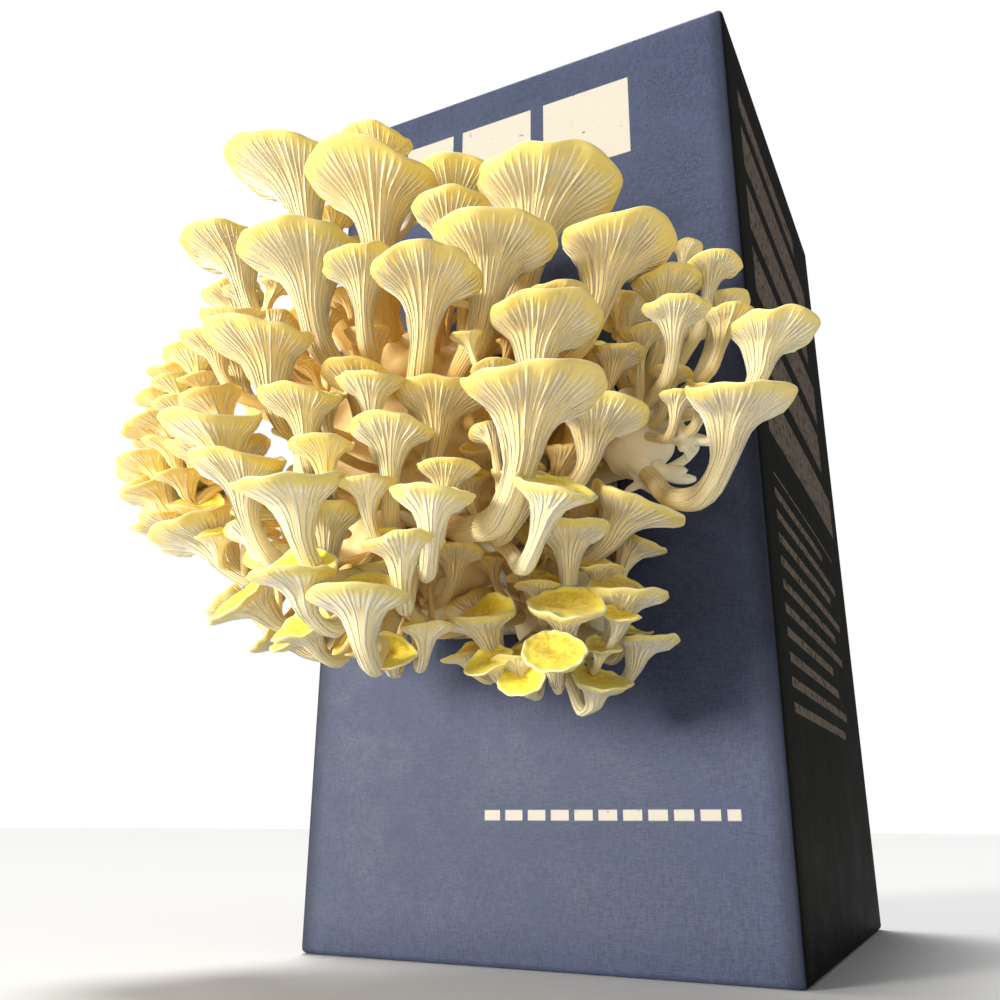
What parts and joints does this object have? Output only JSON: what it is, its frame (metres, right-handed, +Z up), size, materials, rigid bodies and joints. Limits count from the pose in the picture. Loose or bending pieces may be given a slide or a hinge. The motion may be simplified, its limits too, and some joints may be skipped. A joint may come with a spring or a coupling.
{
  "type": "oyster mushroom grow kit",
  "caption": "Carton with a bagged spawn block inside and a large flush of golden oyster mushrooms growing out of its front window.",
  "frame": {"origin": "centre of the carton's bottom face, on the surface that it stands on", "axes": "+Z up, the carton's front face with the window towards -Y, +X to the right as seen from the front"},
  "size_m": [0.1978, 0.2761, 0.3],
  "materials": {
    "printed_board": "satin",
    "bag_film": "gloss",
    "patch_fibre": "matte",
    "spawn": "matte",
    "mushroom_flesh": "matte",
    "joined_stems": "matte",
    "young_caps": "matte"
  },
  "bodies": {
    "root": {"carton": "printed_board", "filter_patch": "patch_fibre", "grow_bag": "bag_film", "knot_low": "joined_stems", "knot_main": "joined_stems", "knot_right": "joined_stems", "mushroom_low_01": "mushroom_flesh", "mushroom_low_02": "mushroom_flesh", "mushroom_low_03": "mushroom_flesh", "mushroom_low_04": "mushroom_flesh", "mushroom_low_05": "mushroom_flesh", "mushroom_low_06": "mushroom_flesh", "mushroom_low_07": "mushroom_flesh", "mushroom_low_08": "mushroom_flesh", "mushroom_main_01": "mushroom_flesh", "mushroom_main_02": "mushroom_flesh", "mushroom_main_03": "mushroom_flesh", "mushroom_main_04": "mushroom_flesh", "mushroom_main_05": "mushroom_flesh", "mushroom_main_06": "mushroom_flesh", "mushroom_main_07": "mushroom_flesh", "mushroom_main_08": "mushroom_flesh", "mushroom_main_09": "mushroom_flesh", "mushroom_main_10": "mushroom_flesh", "mushroom_main_11": "mushroom_flesh", "mushroom_main_12": "mushroom_flesh", "mushroom_main_13": "mushroom_flesh", "mushroom_main_14": "mushroom_flesh", "mushroom_main_15": "mushroom_flesh", "mushroom_main_16": "mushroom_flesh", "mushroom_main_17": "mushroom_flesh", "mushroom_main_18": "mushroom_flesh", "mushroom_main_19": "mushroom_flesh", "mushroom_main_20": "mushroom_flesh", "mushroom_main_21": "mushroom_flesh", "mushroom_main_22": "mushroom_flesh", "mushroom_main_23": "mushroom_flesh", "mushroom_main_24": "mushroom_flesh", "mushroom_main_25": "mushroom_flesh", "mushroom_main_26": "mushroom_flesh", "mushroom_main_27": "mushroom_flesh", "mushroom_main_28": "mushroom_flesh", "mushroom_main_29": "mushroom_flesh", "mushroom_main_30": "mushroom_flesh", "mushroom_main_31": "mushroom_flesh", "mushroom_main_32": "mushroom_flesh", "mushroom_main_33": "mushroom_flesh", "mushroom_main_34": "mushroom_flesh", "mushroom_main_35": "mushroom_flesh", "mushroom_main_36": "mushroom_flesh", "mushroom_main_37": "mushroom_flesh", "mushroom_main_38": "mushroom_flesh", "mushroom_right_01": "mushroom_flesh", "mushroom_right_02": "mushroom_flesh", "mushroom_right_03": "mushroom_flesh", "mushroom_right_04": "mushroom_flesh", "mushroom_right_05": "mushroom_flesh", "substrate_block": "spawn", "young_thicket": "young_caps"}
  },
  "joints": []
}
